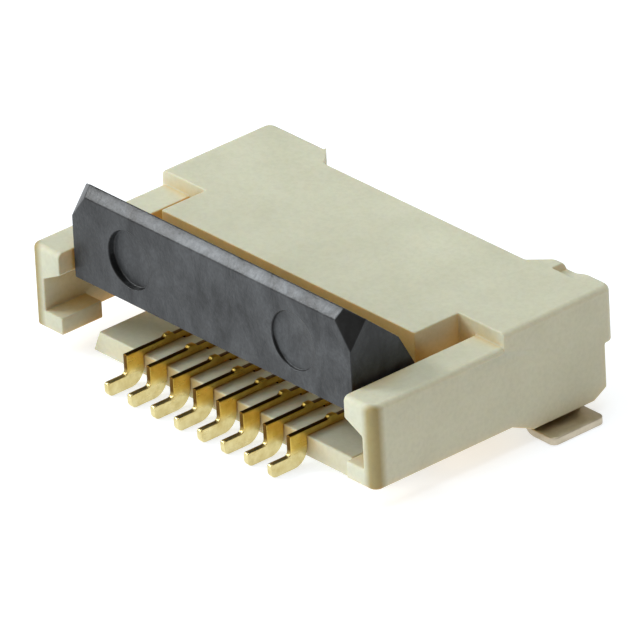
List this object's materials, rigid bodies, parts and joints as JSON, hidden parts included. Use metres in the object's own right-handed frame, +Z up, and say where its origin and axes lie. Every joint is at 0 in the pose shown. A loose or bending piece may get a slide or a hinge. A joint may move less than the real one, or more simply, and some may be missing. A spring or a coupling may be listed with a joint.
{
  "type": "fpc connector",
  "caption": "Surface-mount connector for a flat flexible cable: cream housing, blanked fork contacts, solder tabs and a grey flip-up locking actuator, shown open.",
  "frame": {"origin": "middle of the part's box on the board plane, under the middle of the contact row", "axes": "+X along the contact row, +Y towards the side where the cable goes in, +Z up from the board; the tails and the actuator are at -Y"},
  "size_m": [0.008, 0.0048, 0.0028],
  "materials": {
    "housing_plastic": "cream moulded liquid crystal polymer, slightly translucent",
    "actuator_plastic": "dark grey moulded plastic with faint flow marks",
    "contact_gold": "gold plated, blanked edges",
    "tab_metal": "tin plated sheet, dull"
  },
  "bodies": {
    "housing": {"housing": "housing_plastic", "contact_1": "contact_gold", "contact_2": "contact_gold", "contact_3": "contact_gold", "contact_4": "contact_gold", "contact_5": "contact_gold", "contact_6": "contact_gold", "contact_7": "contact_gold", "contact_8": "contact_gold", "solder_tab_left": "tab_metal", "solder_tab_right": "tab_metal"},
    "actuator": {"actuator": "actuator_plastic"}
  },
  "joints": [
    {"name": "actuator_flip", "type": "hinge", "parent": "housing", "child": "actuator", "pos_m": [0, -0.00108, 0.00148], "axis": [1, 0, 0], "range_deg": [0, 90]}
  ]
}
